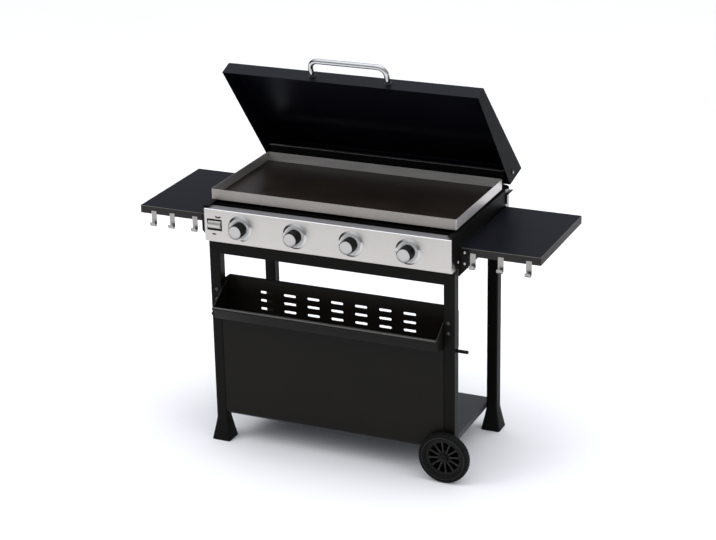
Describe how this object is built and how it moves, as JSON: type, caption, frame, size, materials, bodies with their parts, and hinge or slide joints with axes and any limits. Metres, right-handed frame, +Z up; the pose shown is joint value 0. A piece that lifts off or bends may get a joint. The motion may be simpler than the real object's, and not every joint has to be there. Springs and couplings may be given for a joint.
{
  "type": "outdoor gas griddle station",
  "caption": "Free-standing gas griddle on a wheeled square-tube cart with hinged lid, side shelves and storage trough.",
  "frame": {"origin": "on the floor under the middle of the whole station", "axes": "+X to the right across the front, +Y to the rear, +Z up"},
  "size_m": [1.5, 0.7068, 1.4077],
  "materials": {
    "frame_black": "satin",
    "sheet_black": "satin",
    "lid_black": "satin",
    "stainless": "satin",
    "cooking_steel": "matte",
    "chrome_trim": "gloss",
    "handle_steel": "satin",
    "knob_plastic": "satin",
    "tyre_rubber": "matte",
    "hub_plastic": "satin",
    "foot_plastic": "matte",
    "zinc_bolts": "satin",
    "black_bolts": "satin",
    "gas_brass": "satin",
    "burner_steel": "satin",
    "ceramic": "gloss"
  },
  "bodies": {
    "station": {"leg_front_left": "frame_black", "leg_front_right": "frame_black", "leg_rear_left": "frame_black", "leg_rear_right": "frame_black", "flared_feet": "foot_plastic", "front_rail": "frame_black", "rear_rail": "frame_black", "side_rails": "frame_black", "lower_front_panel": "sheet_black", "bottom_shelf": "sheet_black", "storage_trough": "sheet_black", "slotted_panel": "sheet_black", "cross_rod": "frame_black", "frame_bolts": "black_bolts", "axle_bolt": "black_bolts", "fire_box_left": "sheet_black", "fire_box_right": "sheet_black", "rear_wall": "sheet_black", "inner_wall": "sheet_black", "fire_box_floor": "sheet_black", "burner_1": "burner_steel", "burner_2": "burner_steel", "burner_3": "burner_steel", "burner_4": "burner_steel", "gas_manifold": "burner_steel", "gas_inlet": "gas_brass", "gas_valves": "gas_brass", "spark_electrodes": "ceramic", "fascia": "stainless", "knob_bezels": "chrome_trim", "igniter_recess": "knob_plastic", "spark_unit": "knob_plastic", "grease_chute": "stainless", "cup_fork": "sheet_black", "hinge_ears": "sheet_black", "hinge_rod": "zinc_bolts", "side_shelf_left": "sheet_black", "side_shelf_right": "sheet_black", "shelf_brackets": "sheet_black", "shelf_bolts": "zinc_bolts", "hooks_left": "chrome_trim", "hooks_right": "chrome_trim"},
    "lid": {"lid_shell": "lid_black", "lid_handle": "handle_steel", "handle_ferrules": "black_bolts"},
    "griddle": {"griddle_plate": "cooking_steel", "griddle_rim": "stainless"},
    "cup": {"grease_cup": "stainless"},
    "igniter": {"igniter_button": "chrome_trim"},
    "wheel": {"tyre": "tyre_rubber", "wheel_hub": "hub_plastic"},
    "stem_1": {"stem_1": "burner_steel"},
    "knob_1": {"knob_1": "knob_plastic"},
    "stem_2": {"stem_2": "burner_steel"},
    "knob_2": {"knob_2": "knob_plastic"},
    "stem_3": {"stem_3": "burner_steel"},
    "knob_3": {"knob_3": "knob_plastic"},
    "stem_4": {"stem_4": "burner_steel"},
    "knob_4": {"knob_4": "knob_plastic"}
  },
  "joints": [
    {"name": "lid_hinge", "type": "hinge", "parent": "station", "child": "lid", "pos_m": [0, 0.25405, 0.962], "axis": [-1, 0, 0], "range_deg": [-47.4, 0]},
    {"name": "knob_1_press", "type": "slide", "parent": "station", "child": "stem_1", "axis": [0, 1, 0], "range_m": [0, 0.003], "stiffness_N_per_m": 800, "springref_m": -0.003},
    {"name": "knob_1_turn", "type": "hinge", "parent": "stem_1", "child": "knob_1", "pos_m": [-0.322, -0.32395, 0.836], "axis": [0, -1, 0], "range_deg": [0, 210]},
    {"name": "knob_2_press", "type": "slide", "parent": "station", "child": "stem_2", "axis": [0, 1, 0], "range_m": [0, 0.003], "stiffness_N_per_m": 800, "springref_m": -0.003},
    {"name": "knob_2_turn", "type": "hinge", "parent": "stem_2", "child": "knob_2", "pos_m": [-0.113, -0.32395, 0.836], "axis": [0, -1, 0], "range_deg": [0, 210]},
    {"name": "knob_3_press", "type": "slide", "parent": "station", "child": "stem_3", "axis": [0, 1, 0], "range_m": [0, 0.003], "stiffness_N_per_m": 800, "springref_m": -0.003},
    {"name": "knob_3_turn", "type": "hinge", "parent": "stem_3", "child": "knob_3", "pos_m": [0.096, -0.32395, 0.836], "axis": [0, -1, 0], "range_deg": [0, 210]},
    {"name": "knob_4_press", "type": "slide", "parent": "station", "child": "stem_4", "axis": [0, 1, 0], "range_m": [0, 0.003], "stiffness_N_per_m": 800, "springref_m": -0.003},
    {"name": "knob_4_turn", "type": "hinge", "parent": "stem_4", "child": "knob_4", "pos_m": [0.305, -0.32395, 0.836], "axis": [0, -1, 0], "range_deg": [0, 210]},
    {"name": "igniter_press", "type": "slide", "parent": "station", "child": "igniter", "axis": [0, 1, 0], "range_m": [0, 0.005], "stiffness_N_per_m": 700, "springref_m": -0.003},
    {"name": "wheel_spin", "type": "hinge", "parent": "station", "child": "wheel", "pos_m": [0.43, -0.29895, 0.0925], "axis": [0, 1, 0], "continuous": true},
    {"name": "griddle_lift", "type": "slide", "parent": "station", "child": "griddle", "axis": [0, 0, 1], "range_m": [0, 0.12]},
    {"name": "cup_slide", "type": "slide", "parent": "station", "child": "cup", "axis": [0, 1, 0], "range_m": [0, 0.09]}
  ]
}
